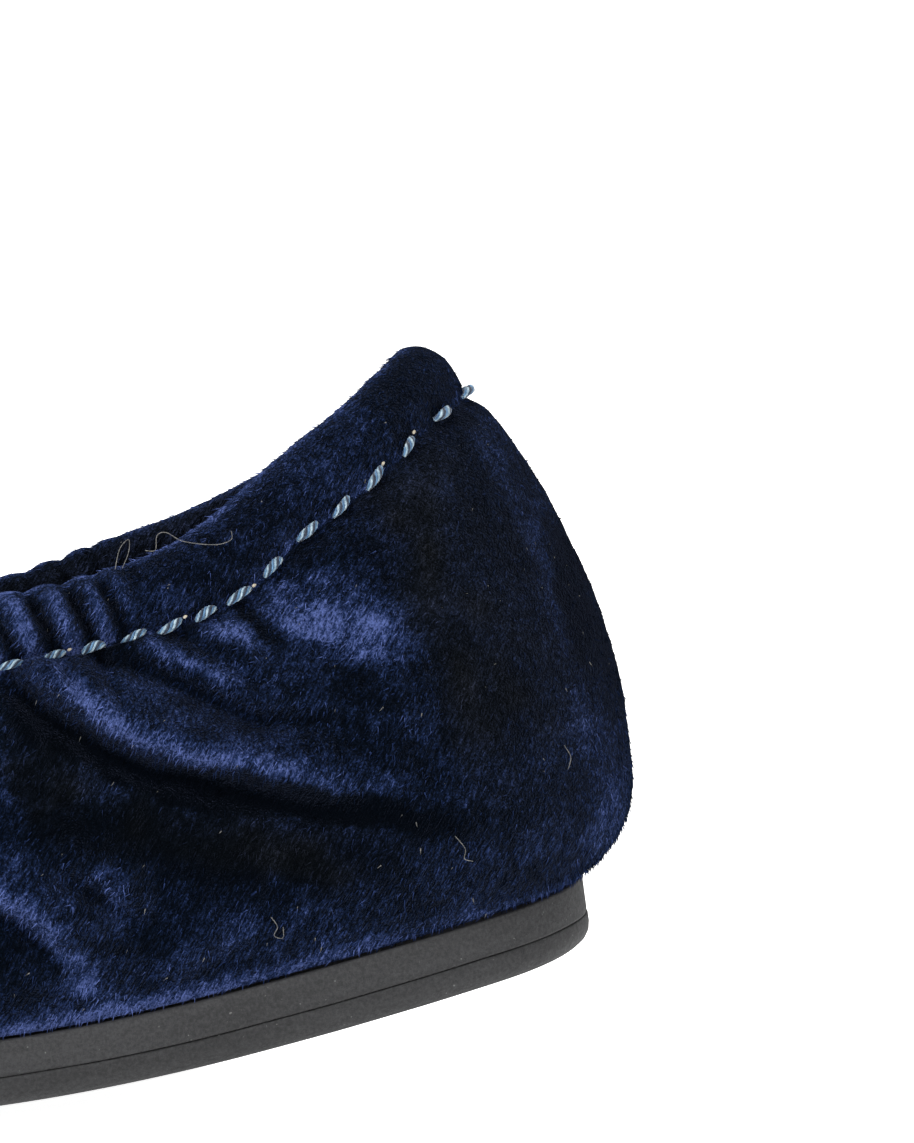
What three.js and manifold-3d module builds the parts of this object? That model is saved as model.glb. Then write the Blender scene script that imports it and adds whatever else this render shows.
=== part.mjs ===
// A left-foot velvet slipper with an elastic collar. Millimetres, +Z up, toe towards -X, outer side
// towards -Y. The unworn slipper is curled: the elastic in its collar pulls the heel and the toe up
// off the floor. The sole follows a bend line, flat under the arch, that turns up on an arc at either
// end and then runs straight. The upper is a ring of walls. Each wall is a cubic curve from the rim of
// the sole to the topline, and each layer of the upper is the same ring moved inwards. All pieces are
// cut apart at the two places where the slipper bends.

import * as THREE from "three";
import { mergeVertices } from "three/addons/utils/BufferGeometryUtils.js";
import Module from "manifold-3d";

const wasm = await Module();
wasm.setup();

// ---- driving dimensions ----

const SOLE_LENGTH = 243; // along the curl
const FLAT_FROM = 90; // the flat stretch under the arch, measured from the heel end along the sole
const FLAT_TO = 147;
const CURL_RADIUS = 208;
const HEEL_CURL = THREE.MathUtils.degToRad(14.5); // steepest slope of the sole at either end
const TOE_CURL = THREE.MathUtils.degToRad(11);

const PIECE_GAP = 0.3; // between two pieces that touch
const BEND_GAP = 1.3; // either side of a bend, so that the curled sole can be trodden flat

// Layers of the sole: heights above its underside, and how far each keeps inside its outline.
const OUTSOLE = { from: 0, to: 2.9, inset: 0.4 };
const MIDSOLE = { from: 3.2, to: 6.7, inset: 0 };
const FOOTBED_FOAM = { from: 7, to: 11.3, inset: 6.4 };
const SOCK_LINER = { from: 11.6, to: 12.6, inset: 6.9 };

const UPPER_FOOT = 7; // where the walls start above the underside, and inside the outline
const UPPER_INSET = 1;

// Layers of the upper: depths below the outer face of the velvet.
const VELVET = { from: 0, to: 1.2 };
const COUNTER = { from: 1.5, to: 2.5 };
const LINING = { from: 2.8, to: 3.6 };
const SEAM_TAPE = { from: 3.9, to: 4.4 };

const HEM_WIDTH = 8.2; // from the topline down to the stitches
const HEM_DEPTH = 4.8;
const HEM_EDGE = 0.7;
const ELASTIC = { top: 1.9, bottom: 7.2, from: 1.7, to: 3.1 };
const THREAD_RADIUS = 0.5;
const THREAD_SIDES = 6;

// The two bends. `at` is measured from the heel end. Above the footbed each leaves a wedge of soft
// cloth between the stiffer parts; the leans are the tilts of its two edges, in degrees from upright.
const PIVOT_HEIGHT = 13.3;
const WAIST_BEND = { at: 95, heelLean: 44, toeLean: 28 };
const BALL_BEND = { at: 163, heelLean: 38, toeLean: 16 };

const COUNTER_FRONT = 58; // how far forward the heel counter reaches
const COUNTER_ROWS = 4; // how far up, in steps of the wall
const TAPE_HALF_WIDTH = 5;

// The wall profiles, from the middle of the heel to the tip of the toe.
//   at            distance from the heel end along the sole
//   inner, outer  half widths of the sole
//   top           the topline's distance ahead of the heel end, half width, and inner and outer height
//   low           first handle of the wall's curve, out from and up from the sole's rim
//   high          second handle, out from and down from the topline
const PROFILES = [
  { at: 0, inner: 0, outer: 0, top: [19.2, 0, 77.3, 77.3], low: [12, 6], high: [21, 16] },
  { at: 6, inner: 17.5, outer: 17.5, top: [21.9, 7, 74.4, 75.5], low: [10, 7], high: [15, 17] },
  { at: 25, inner: 26.5, outer: 26.5, top: [32, 15.6, 64.6, 67.4], low: [6, 8], high: [9, 17] },
  { at: 52, inner: 27.5, outer: 28.5, top: [48, 22.5, 56.7, 56.6], low: [5, 9], high: [7, 16] },
  { at: 85, inner: 26.5, outer: 31.5, top: [80, 25.5, 46.8, 50.6], low: [5, 9], high: [7, 15] },
  { at: 120, inner: 29, outer: 36.5, top: [114, 26.5, 45.8, 47.4], low: [5, 9], high: [8, 14] },
  { at: 152, inner: 34.5, outer: 40, top: [145, 24.5, 44.8, 44.7], low: [5, 9], high: [10, 11] },
  { at: 183, inner: 34.6, outer: 38.8, top: [167, 17, 43.5, 42.6], low: [4, 10], high: [15, 5] },
  { at: 211, inner: 30.5, outer: 33, top: [175.5, 9.5, 42.5, 42], low: [3, 10], high: [22, 3] },
  { at: 233, inner: 21, outer: 18.5, top: [178, 4, 42.3, 42.2], low: [3, 10], high: [27, 3] },
  { at: SOLE_LENGTH, inner: 2, outer: -2, top: [178.6, 0, 42.3, 42.3], low: [3, 10], high: [29, 3] },
];

const STEPS_PER_PROFILE = 4;
const WALL_STEPS = 6;

// ---- the bend line of the sole ----

// How far the end of a curl reaches sideways and upwards from the end of the flat, at height `up`
// above the underside.
function curl(run, limit, up) {
  const turn = Math.min(run / CURL_RADIUS, limit);
  const straight = run - turn * CURL_RADIUS;
  return {
    reach: (CURL_RADIUS - up) * Math.sin(turn) + straight * Math.cos(turn),
    rise: CURL_RADIUS - (CURL_RADIUS - up) * Math.cos(turn) + straight * Math.sin(turn),
  };
}

const HEEL_REACH = curl(FLAT_FROM, HEEL_CURL, 0).reach;

// The point that is `at` along the sole and `up` above its underside; x is measured from the heel end.
function onSole(at, y, up) {
  const flat = THREE.MathUtils.clamp(at, FLAT_FROM, FLAT_TO);
  const heel = curl(Math.max(FLAT_FROM - at, 0), HEEL_CURL, up);
  const toe = curl(Math.max(at - FLAT_TO, 0), TOE_CURL, up);
  const x = heel.reach - toe.reach - (flat - FLAT_FROM) - HEEL_REACH;
  return new THREE.Vector3(x, y, Math.max(heel.rise, toe.rise));
}

// ---- the ring of walls ----

// Anticlockwise from above: along the inner side to the toe, and back along the outer side.
const innerSide = PROFILES.map((profile) => ({ ...profile, side: 1 }));
const outerSide = PROFILES.slice(1, -1).map((profile) => ({ ...profile, side: -1 }));
const ring = [...innerSide, ...outerSide.reverse()];
const RING_STEPS = STEPS_PER_PROFILE * ring.length;

function loopThrough(pointOf) {
  return new THREE.CatmullRomCurve3(ring.map(pointOf), true, "catmullrom", 0.5);
}

const outline = loopThrough((p) => new THREE.Vector3(-p.at, p.side > 0 ? p.inner : -p.outer, 0));
const lowHandles = loopThrough((p) => new THREE.Vector3(p.low[0], p.low[1], 0));
const highHandles = loopThrough((p) => new THREE.Vector3(p.high[0], p.high[1], 0));
const topline = loopThrough((p) => {
  const [ahead, half, innerHeight, outerHeight] = p.top;
  return new THREE.Vector3(-ahead, p.side * half, p.side > 0 ? innerHeight : outerHeight);
});

// A point of the sole's outline, `inset` inside it, with the way out.
function rimAt(t, inset) {
  const point = outline.getPoint(t);
  const along = outline.getTangent(t);
  const out = new THREE.Vector3(along.y, -along.x, 0).normalize();
  point.addScaledVector(out, -inset);
  return { at: -point.x, y: point.y, out };
}

function wallCurve(t) {
  const { at, y, out } = rimAt(t, UPPER_INSET);
  const foot = onSole(at, y, UPPER_FOOT);
  const top = topline.getPoint(t);
  const low = lowHandles.getPoint(t);
  const high = highHandles.getPoint(t);
  const lowHandle = foot.clone().addScaledVector(out, low.x);
  const highHandle = top.clone().addScaledVector(out, high.x);
  lowHandle.z += low.y;
  highHandle.z -= high.y;
  return new THREE.CubicBezierCurve3(foot, lowHandle, highHandle, top);
}

const walls = Array.from({ length: RING_STEPS }, (_, i) => wallCurve(i / RING_STEPS));
const wallLengths = walls.map((wall) => wall.getLength());

// How many times longer than square across the hem it is to go down each wall, where the topline slopes.
const slants = walls.map((wall, i) => {
  const slope = topline.getTangent(i / RING_STEPS).dot(wall.getTangent(1));
  return 1 / Math.sqrt(1 - slope ** 2);
});

// The point of wall i that is `down` from the topline along the wall and `depth` inside the outer face.
function onWall(i, down, depth) {
  const share = THREE.MathUtils.clamp(1 - down / wallLengths[i], 0, 1);
  const point = walls[i].getPointAt(share);
  const up = walls[i].getTangentAt(share);
  const next = walls[(i + 1) % RING_STEPS].getPointAt(share);
  const last = walls[(i + RING_STEPS - 1) % RING_STEPS].getPointAt(share);
  const outwards = next.sub(last).cross(up).normalize();
  return point.addScaledVector(outwards, -depth);
}

// ---- solids ----

function toSolid(geometry) {
  geometry.deleteAttribute("normal");
  geometry.deleteAttribute("uv");
  const merged = mergeVertices(geometry, 1e-4);
  const vertProperties = new Float32Array(merged.attributes.position.array);
  const triVerts = new Uint32Array(merged.index.array);
  return new wasm.Manifold(new wasm.Mesh({ numProp: 3, vertProperties, triVerts }));
}

function solidFrom(points, faces) {
  const geometry = new THREE.BufferGeometry().setFromPoints(points);
  geometry.setIndex(faces);
  return toSolid(geometry);
}

// A closed loop round the slipper. section(i) lists its corners at wall i, the outer ones first, from
// below upwards.
function loopSolid(section) {
  const rows = Array.from({ length: RING_STEPS }, (_, i) => section(i));
  const corners = rows[0].length;
  const index = (i, j) => (i % RING_STEPS) * corners + (j % corners);
  const faces = [];
  for (let i = 0; i < RING_STEPS; i++) {
    for (let j = 0; j < corners; j++) {
      faces.push(index(i, j), index(i + 1, j), index(i, j + 1));
      faces.push(index(i, j + 1), index(i + 1, j), index(i + 1, j + 1));
    }
  }
  return solidFrom(rows.flat(), faces);
}

// One layer of the walls, from their foot up towards the hem.
function wallLayer({ from, to }, rows = WALL_STEPS) {
  return loopSolid((i) => {
    const hemLine = (HEM_WIDTH + PIECE_GAP) * slants[i];
    const height = wallLengths[i] - hemLine;
    const downs = Array.from({ length: rows + 1 }, (_, k) => hemLine + height * (1 - k / WALL_STEPS));
    const outside = downs.map((down) => onWall(i, down, from));
    const inside = downs.reverse().map((down) => onWall(i, down, to));
    return [...outside, ...inside];
  });
}

// A loop along the hem, from corners given as how far across the hem from the topline, and how deep.
function hemLoop(section) {
  return loopSolid((i) => section.map(([across, depth]) => onWall(i, across * slants[i], depth)));
}

// The velvet folded over into a tunnel, which the stitches close from below.
function hemTunnel() {
  const skin = VELVET.to;
  const section = [
    [HEM_WIDTH, 0],
    [HEM_EDGE, 0],
    [0, HEM_EDGE],
    [0, HEM_DEPTH - HEM_EDGE],
    [HEM_EDGE, HEM_DEPTH],
    [HEM_WIDTH, HEM_DEPTH],
    [HEM_WIDTH, HEM_DEPTH - skin],
    [skin, HEM_DEPTH - skin],
    [skin, skin],
    [HEM_WIDTH, skin],
  ];
  return hemLoop(section);
}

function elasticBand() {
  const { top, bottom, from, to } = ELASTIC;
  const section = [
    [bottom, from],
    [top, from],
    [top, to],
    [bottom, to],
  ];
  return hemLoop(section);
}

function threadLoop() {
  const section = Array.from({ length: THREAD_SIDES }, (_, k) => {
    const angle = (2 * Math.PI * k) / THREAD_SIDES;
    const outFromVelvet = PIECE_GAP + THREAD_RADIUS * (1 + Math.cos(angle));
    return [HEM_WIDTH - THREAD_RADIUS * Math.sin(angle), -outFromVelvet];
  });
  return hemLoop(section);
}

// One layer of the sole, made of strips across the foot so that its faces follow the curl.
function soleLayer({ from, to, inset }) {
  const points = [];
  for (let i = 0; i < RING_STEPS; i++) {
    const { at, y } = rimAt(i / RING_STEPS, inset);
    points.push(onSole(at, y, from), onSole(at, y, to));
  }
  const under = (i) => 2 * (i % RING_STEPS);
  const over = (i) => under(i) + 1;
  const faces = [];
  for (let i = 0; i < RING_STEPS; i++) {
    faces.push(under(i), under(i + 1), over(i));
    faces.push(over(i), under(i + 1), over(i + 1));
  }
  const TOE = RING_STEPS / 2;
  for (let i = 0; i < TOE; i++) {
    const across = RING_STEPS - i;
    if (i > 0) {
      faces.push(over(i), over(i + 1), over(across), under(i), under(across), under(i + 1));
    }
    if (i < TOE - 1) {
      faces.push(over(i + 1), over(across - 1), over(across), under(i + 1), under(across), under(across - 1));
    }
  }
  return solidFrom(points, faces);
}

// ---- zones of the slipper, as prisms across it ----

const BEYOND = 400;

function prism(corners) {
  const shape = new THREE.Shape(corners.map(([x, z]) => new THREE.Vector2(x, z)));
  const geometry = new THREE.ExtrudeGeometry(shape, { depth: 2 * BEYOND, bevelEnabled: false });
  geometry.rotateX(Math.PI / 2);
  geometry.translate(0, BEYOND, 0);
  return toSolid(geometry);
}

function slab(xRange, yRange) {
  const width = xRange[1] - xRange[0];
  const depth = yRange[1] - yRange[0];
  const geometry = new THREE.BoxGeometry(width, depth, 2 * BEYOND);
  geometry.translate(xRange[0] + width / 2, yRange[0] + depth / 2, 0);
  return toSolid(geometry);
}

// An edge of a bend from below upwards: upright as far as the pivot, then leaning. side 1 is its heel
// edge.
function bendEdge(bend, side, clearance) {
  const pivot = onSole(bend.at, 0, PIVOT_HEIGHT);
  const lean = THREE.MathUtils.degToRad(side > 0 ? bend.heelLean : bend.toeLean);
  const x = pivot.x + side * (BEND_GAP - clearance);
  return [
    [x, -BEYOND],
    [x, pivot.z],
    [x + side * BEYOND * Math.tan(lean), pivot.z + BEYOND],
  ];
}

// Everything beyond one edge of a bend, heelwards or toewards.
function beyondBend(bend, side) {
  const far = side * 3 * BEYOND;
  return prism([...bendEdge(bend, side, 0), [far, 2 * BEYOND], [far, -BEYOND]]);
}

function withinBend(bend) {
  return prism([...bendEdge(bend, 1, PIECE_GAP), ...bendEdge(bend, -1, PIECE_GAP).reverse()]);
}

const heelZone = beyondBend(WAIST_BEND, 1);
const waistZone = beyondBend(WAIST_BEND, -1).intersect(beyondBend(BALL_BEND, 1));
const toeZone = beyondBend(BALL_BEND, -1);
const waistBendZone = withinBend(WAIST_BEND);
const ballBendZone = withinBend(BALL_BEND);

const HALF_GAP = PIECE_GAP / 2;
const innerHalf = slab([-BEYOND, BEYOND], [HALF_GAP, BEYOND]);
const outerHalf = slab([-BEYOND, BEYOND], [-BEYOND, -HALF_GAP]);

// ---- pieces ----

const MATERIALS = {
  velvet: { color: 0x141d45, roughness: 0.9, metalness: 0 },
  lining: { color: 0x23283a, roughness: 0.85, metalness: 0 },
  outsole: { color: 0x2c2f31, roughness: 0.8, metalness: 0 },
  midsole: { color: 0x383c3d, roughness: 0.8, metalness: 0 },
  foam: { color: 0xc9c3b2, roughness: 0.95, metalness: 0 },
  sock: { color: 0x2b3148, roughness: 0.9, metalness: 0 },
  elastic: { color: 0xe6e6e2, roughness: 0.7, metalness: 0 },
  thread: { color: 0x7fb2dc, roughness: 0.6, metalness: 0 },
  board: { color: 0xd8d2c4, roughness: 0.8, metalness: 0 },
  tape: { color: 0x1a2140, roughness: 0.8, metalness: 0 },
};

const group = new THREE.Group();
group.name = "slipper";

function addPiece(name, solid, materialName) {
  const { vertProperties, triVerts } = solid.getMesh();
  const geometry = new THREE.BufferGeometry();
  geometry.setAttribute("position", new THREE.BufferAttribute(vertProperties, 3));
  geometry.setIndex(new THREE.BufferAttribute(triVerts, 1));
  geometry.computeVertexNormals();
  const mesh = new THREE.Mesh(geometry, new THREE.MeshStandardMaterial(MATERIALS[materialName]));
  mesh.name = name;
  group.add(mesh);
}

function addSoleLayer(name, layer, materialName) {
  const solid = soleLayer(layer);
  addPiece(`${name}_heel`, solid.intersect(heelZone), materialName);
  addPiece(`${name}_waist`, solid.intersect(waistZone), materialName);
  addPiece(`${name}_forefoot`, solid.intersect(toeZone), materialName);
}

function addBothSides(name, solid, materialName) {
  addPiece(`${name}_inner`, solid.intersect(innerHalf), materialName);
  addPiece(`${name}_outer`, solid.intersect(outerHalf), materialName);
}

// A loop that runs through every zone. The heel and toe ends wrap round; the rest is a piece on either
// side.
function addLoop(name, solid, materialName) {
  addPiece(`${name}_heel`, solid.intersect(heelZone), materialName);
  addPiece(`${name}_toe`, solid.intersect(toeZone), materialName);
  addSidesOfLoop(name, solid, materialName);
}

function addSidesOfLoop(name, solid, materialName) {
  addBothSides(`${name}_waist`, solid.intersect(waistZone), materialName);
  addBothSides(`${name}_waist_bend`, solid.intersect(waistBendZone), materialName);
  addBothSides(`${name}_ball_bend`, solid.intersect(ballBendZone), materialName);
}

addSoleLayer("outsole", OUTSOLE, "outsole");
addSoleLayer("midsole", MIDSOLE, "midsole");
addSoleLayer("footbed_foam", FOOTBED_FOAM, "foam");
addSoleLayer("sock_liner", SOCK_LINER, "sock");

const velvet = wallLayer(VELVET);
addBothSides("velvet_heel", velvet.intersect(heelZone), "velvet");
addPiece("velvet_toe", velvet.intersect(toeZone), "velvet");
addSidesOfLoop("velvet", velvet, "velvet");

addLoop("lining", wallLayer(LINING), "lining");
addLoop("hem", hemTunnel(), "velvet");
addLoop("elastic", elasticBand(), "elastic");
addLoop("thread", threadLoop(), "thread");

const counterZone = heelZone.intersect(slab([-COUNTER_FRONT, BEYOND], [-BEYOND, BEYOND]));
addPiece("heel_counter", wallLayer(COUNTER, COUNTER_ROWS).intersect(counterZone), "board");

const tapeZone = slab([-COUNTER_FRONT, BEYOND], [-TAPE_HALF_WIDTH, TAPE_HALF_WIDTH]);
addPiece("back_seam_tape", wallLayer(SEAM_TAPE).intersect(tapeZone), "tape");

// Standing on the floor, in the middle of the frame.
const box = new THREE.Box3().setFromObject(group);
const middle = box.getCenter(new THREE.Vector3());
for (const piece of group.children) {
  piece.geometry.translate(-middle.x, -middle.y, -box.min.z);
}

export default group;
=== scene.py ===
import math

import bmesh
import bpy
import numpy as np
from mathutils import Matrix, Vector


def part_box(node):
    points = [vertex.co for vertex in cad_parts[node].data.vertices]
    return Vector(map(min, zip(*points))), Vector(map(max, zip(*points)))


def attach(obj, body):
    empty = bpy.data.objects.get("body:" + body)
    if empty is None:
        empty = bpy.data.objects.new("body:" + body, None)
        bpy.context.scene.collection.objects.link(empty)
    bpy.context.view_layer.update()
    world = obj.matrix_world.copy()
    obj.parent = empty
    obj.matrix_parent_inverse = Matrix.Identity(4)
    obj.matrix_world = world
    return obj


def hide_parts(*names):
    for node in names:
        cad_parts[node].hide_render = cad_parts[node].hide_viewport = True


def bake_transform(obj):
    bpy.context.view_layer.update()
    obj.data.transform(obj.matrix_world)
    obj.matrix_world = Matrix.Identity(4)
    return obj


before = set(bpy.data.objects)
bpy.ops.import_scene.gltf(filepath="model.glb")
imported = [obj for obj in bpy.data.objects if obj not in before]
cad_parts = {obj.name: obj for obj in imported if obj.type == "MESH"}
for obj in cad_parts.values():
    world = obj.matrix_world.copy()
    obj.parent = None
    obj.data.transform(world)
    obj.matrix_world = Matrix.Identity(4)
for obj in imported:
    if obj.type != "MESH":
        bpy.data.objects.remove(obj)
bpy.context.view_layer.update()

# The slipper is worked out in millimetres, with x measured from the heel end of the sole, and shifted into
# the frame when a mesh is made. The sole's bend line, the ring of walls and the depths of the layers are those
# of the CAD model.

MM = 0.001

# ---- the slipper's driving sizes ----

SOLE_LENGTH = 243
FLAT_FROM = 90
FLAT_TO = 147
CURL_RADIUS = 208
HEEL_CURL = math.radians(14.5)
TOE_CURL = math.radians(11)

OUTSOLE_TOP = 3
OUTSOLE_INSET = 0.4
MIDSOLE_TOP = 6.7
UPPER_FOOT = 7
UPPER_INSET = 1

HEM_WIDTH = 8.2
HEM_DEPTH = 4.8
HEM_MIDDLE = (4.1, 2.4)  # down from the topline and in from the outer face

SEAM_AT = 130  # the side seams, between the two halves of the upper, measured along the sole

# at, inner and outer half widths, topline (ahead, half width, inner and outer height), low and high handles
PROFILES = [
    (0, 0, 0, (19.2, 0, 77.3, 77.3), (12, 6), (21, 16)),
    (6, 17.5, 17.5, (21.9, 7, 74.4, 75.5), (10, 7), (15, 17)),
    (25, 26.5, 26.5, (32, 15.6, 64.6, 67.4), (6, 8), (9, 17)),
    (52, 27.5, 28.5, (48, 22.5, 56.7, 56.6), (5, 9), (7, 16)),
    (85, 26.5, 31.5, (80, 25.5, 46.8, 50.6), (5, 9), (7, 15)),
    (120, 29, 36.5, (114, 26.5, 45.8, 47.4), (5, 9), (8, 14)),
    (152, 34.5, 40, (145, 24.5, 44.8, 44.7), (5, 9), (10, 11)),
    (183, 34.6, 38.8, (167, 17, 43.5, 42.6), (4, 10), (15, 5)),
    (211, 30.5, 33, (175.5, 9.5, 42.5, 42), (3, 10), (22, 3)),
    (233, 21, 18.5, (178, 4, 42.3, 42.2), (3, 10), (27, 3)),
    (SOLE_LENGTH, 2, -2, (178.6, 0, 42.3, 42.3), (3, 10), (29, 3)),
]


# ---- small sums ----


def smooth(low, high, value):
    share = np.clip((value - low) / (high - low), 0, 1)
    return share * share * (3 - 2 * share)


def hill(distance, width):
    """1 at no distance, and falling off smoothly to both sides."""
    return np.exp(-((distance / width) ** 2))


def unit(vectors):
    return vectors / np.maximum(np.linalg.norm(vectors, axis=-1, keepdims=True), 1e-9)


def lattice(corner, seed):
    """A repeatable random number from 0 to 1 for each whole-number corner."""
    mixed = corner[..., 0] * 73856093 ^ corner[..., 1] * 19349663 ^ corner[..., 2] * 83492791 ^ seed * 2654435
    mixed = (mixed ^ (mixed >> 13)) * 1274126177 & 0x7FFFFFFF
    return (mixed ^ (mixed >> 16)) % 65536 / 65536


def rumple(points, size, seed):
    """Smooth random heights from -1 to 1, with bumps about `size` across."""
    place = np.asarray(points, float) / np.asarray(size, float)
    whole = np.floor(place).astype(np.int64)
    part = place - whole
    part = part * part * (3 - 2 * part)
    total = 0
    for i in (0, 1):
        for j in (0, 1):
            for k in (0, 1):
                weight = (
                    np.where(i, part[..., 0], 1 - part[..., 0])
                    * np.where(j, part[..., 1], 1 - part[..., 1])
                    * np.where(k, part[..., 2], 1 - part[..., 2])
                )
                total = total + weight * lattice(whole + np.array([i, j, k]), seed)
    return total * 2 - 1


# ---- the sole's bend line and the ring of walls ----


def curl(run, limit, up):
    turn = np.minimum(run / CURL_RADIUS, limit)
    straight = run - turn * CURL_RADIUS
    reach = (CURL_RADIUS - up) * np.sin(turn) + straight * np.cos(turn)
    rise = CURL_RADIUS - (CURL_RADIUS - up) * np.cos(turn) + straight * np.sin(turn)
    return reach, rise


HEEL_REACH = curl(FLAT_FROM, HEEL_CURL, 0)[0]


def on_sole(at, y, up):
    """The points that are `at` along the sole and `up` above its underside."""
    at, y, up = np.broadcast_arrays(np.asarray(at, float), y, up)
    heel_reach, heel_rise = curl(np.maximum(FLAT_FROM - at, 0), HEEL_CURL, up)
    toe_reach, toe_rise = curl(np.maximum(at - FLAT_TO, 0), TOE_CURL, up)
    flat = np.clip(at, FLAT_FROM, FLAT_TO)
    x = heel_reach - toe_reach - (flat - FLAT_FROM) - HEEL_REACH
    return np.stack([x, y, np.maximum(heel_rise, toe_rise)], axis=-1)


def through(points, t):
    """The closed smooth curve through the points, at t from 0 to 1, and its tangents."""
    points = np.asarray(points, float)
    count = len(points)
    place = np.asarray(t, float) % 1 * count
    i = np.floor(place).astype(int) % count
    f = (place - np.floor(place))[:, None]
    a, b, c, d = (points[(i + k) % count] for k in (-1, 0, 1, 2))
    m, n = (c - a) / 2, (d - b) / 2
    value = (2 * f**3 - 3 * f**2 + 1) * b + (f**3 - 2 * f**2 + f) * m
    value += (3 * f**2 - 2 * f**3) * c + (f**3 - f**2) * n
    slope = (6 * f**2 - 6 * f) * (b - c) + (3 * f**2 - 4 * f + 1) * m + (3 * f**2 - 2 * f) * n
    return value, slope


RING = [(p, 1) for p in PROFILES] + [(p, -1) for p in PROFILES[-2:0:-1]]
OUTLINE = [(-p[0], p[1] if side > 0 else -p[2]) for p, side in RING]
TOPLINE = [(-p[3][0], side * p[3][1], p[3][2] if side > 0 else p[3][3]) for p, side in RING]
LOW = [p[4] for p, side in RING]
HIGH = [p[5] for p, side in RING]


def rim(t, inset):
    """Points of the sole's outline as (distance along the sole, y), and the way out from them."""
    point, along = through(OUTLINE, t)
    out = unit(np.stack([along[:, 1], -along[:, 0]], axis=-1))
    point = point - out * np.asarray(inset)[..., None]
    return -point[:, 0], point[:, 1], out


class Walls:
    """The ring of walls at the given steps: points and outward normals on the velvet's smooth outer face, and
    slant, how many times longer than square across the hem it is to go down the wall."""

    ROWS = 160

    def __init__(self, t):
        at, y, out = rim(t, np.full(len(t), UPPER_INSET))
        level = np.zeros((len(t), 1))
        out = np.concatenate([out, level], axis=1)
        foot = on_sole(at, y, UPPER_FOOT)
        top, along_top = through(TOPLINE, t)
        low = through(LOW, t)[0]
        high = through(HIGH, t)[0]
        up = np.array([0, 0, 1.0])
        first = foot + out * low[:, :1] + up * low[:, 1:]
        second = top + out * high[:, :1] - up * high[:, 1:]
        s = np.linspace(0, 1, 2 * self.ROWS)[None, :, None]
        curve = (
            (1 - s) ** 3 * foot[:, None]
            + 3 * s * (1 - s) ** 2 * first[:, None]
            + 3 * s * s * (1 - s) * second[:, None]
            + s**3 * top[:, None]
        )
        steps = np.linalg.norm(np.diff(curve, axis=1), axis=2)
        travelled = np.concatenate([level, np.cumsum(steps, axis=1)], axis=1)
        self.length = travelled[:, -1]
        slanting = (unit(along_top) * unit(top - second)).sum(axis=1)
        self.slant = 1 / np.sqrt(1 - slanting[:, None] ** 2)
        shares = np.linspace(0, 1, self.ROWS)
        self.points = np.empty((len(t), self.ROWS, 3))
        for i in range(len(t)):
            for axis in range(3):
                self.points[i, :, axis] = np.interp(shares * self.length[i], travelled[i], curve[i, :, axis])
        along = np.gradient(self.points, axis=0)
        upwards = np.gradient(self.points, axis=1)
        self.normals = unit(np.cross(along, upwards))

    def pick(self, table, down):
        share = np.clip(1 - down / self.length[:, None], 0, 1) * (self.ROWS - 1)
        i = np.minimum(np.floor(share).astype(int), self.ROWS - 2)
        f = (share - i)[..., None]
        rows = np.arange(len(self.length))[:, None]
        return table[rows, i] * (1 - f) + table[rows, i + 1] * f

    def at(self, down, depth):
        """Points `down` from the topline along each wall and `depth` inside its outer face."""
        down, depth = np.broadcast_arrays(down, depth)
        return self.pick(self.points, down) - unit(self.pick(self.normals, down)) * depth[..., None]


def ring_share(at):
    """Where on the ring, from the heel, the inner side passes `at` along the sole."""
    places = [p[0] for p in PROFILES]
    index = np.interp(at, places, range(len(places)))
    return index / len(RING)


SEAM_T = ring_share(SEAM_AT)
HALVES = {
    "rear_inner": (0, SEAM_T),
    "rear_outer": (-SEAM_T, 0),
    "front_inner": (SEAM_T, 0.5),
    "front_outer": (0.5, 1 - SEAM_T),
}
REAR = (-SEAM_T, SEAM_T)
FRONT = (SEAM_T, 1 - SEAM_T)

# Where the frame has the heel end of the sole and its middle line.
outline_steps = through(OUTLINE, np.arange(4 * len(RING)) / (4 * len(RING)))[0]
HEEL_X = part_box("outsole_heel")[1].x / MM + OUTSOLE_INSET * math.cos(HEEL_CURL)
MIDDLE_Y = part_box("midsole_forefoot")[1].y / MM - outline_steps[:, 1].max()


def place(points):
    """Slipper points in millimetres as frame points in metres."""
    return (np.asarray(points, float) + np.array([HEEL_X, MIDDLE_Y, 0])) * MM


# ---- camera ----

scene = bpy.context.scene


def add_object(name, data):
    made = bpy.data.objects.new(name, data)
    scene.collection.objects.link(made)
    return made


def turn_towards(thing, way):
    """Turns a camera or a lamp to look along the way given."""
    thing.rotation_mode = "QUATERNION"
    thing.rotation_quaternion = way.to_track_quat("-Z", "Y")


AIM = place((-15.2, -20, 54.6))
SHOWN_HEIGHT = 0.1143
DISTANCE = 1.2
CAMERA_AZIMUTH = math.radians(-2)
CAMERA_ELEVATION = math.radians(4)
SENSOR = 36

camera_data = bpy.data.cameras.new("camera")
camera_data.sensor_width = SENSOR
camera_data.lens = SENSOR * DISTANCE / SHOWN_HEIGHT
camera = add_object("camera", camera_data)
bpy.context.scene.camera = camera
backwards = Vector((
    math.sin(CAMERA_AZIMUTH) * math.cos(CAMERA_ELEVATION),
    -math.cos(CAMERA_AZIMUTH) * math.cos(CAMERA_ELEVATION),
    math.sin(CAMERA_ELEVATION),
))
camera.location = Vector(AIM) + backwards * DISTANCE
turn_towards(camera, -backwards)
camera_data.clip_start = 0.05
camera_data.clip_end = 20

scene.view_settings.view_transform = "Standard"


# ---- node tools ----


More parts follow.
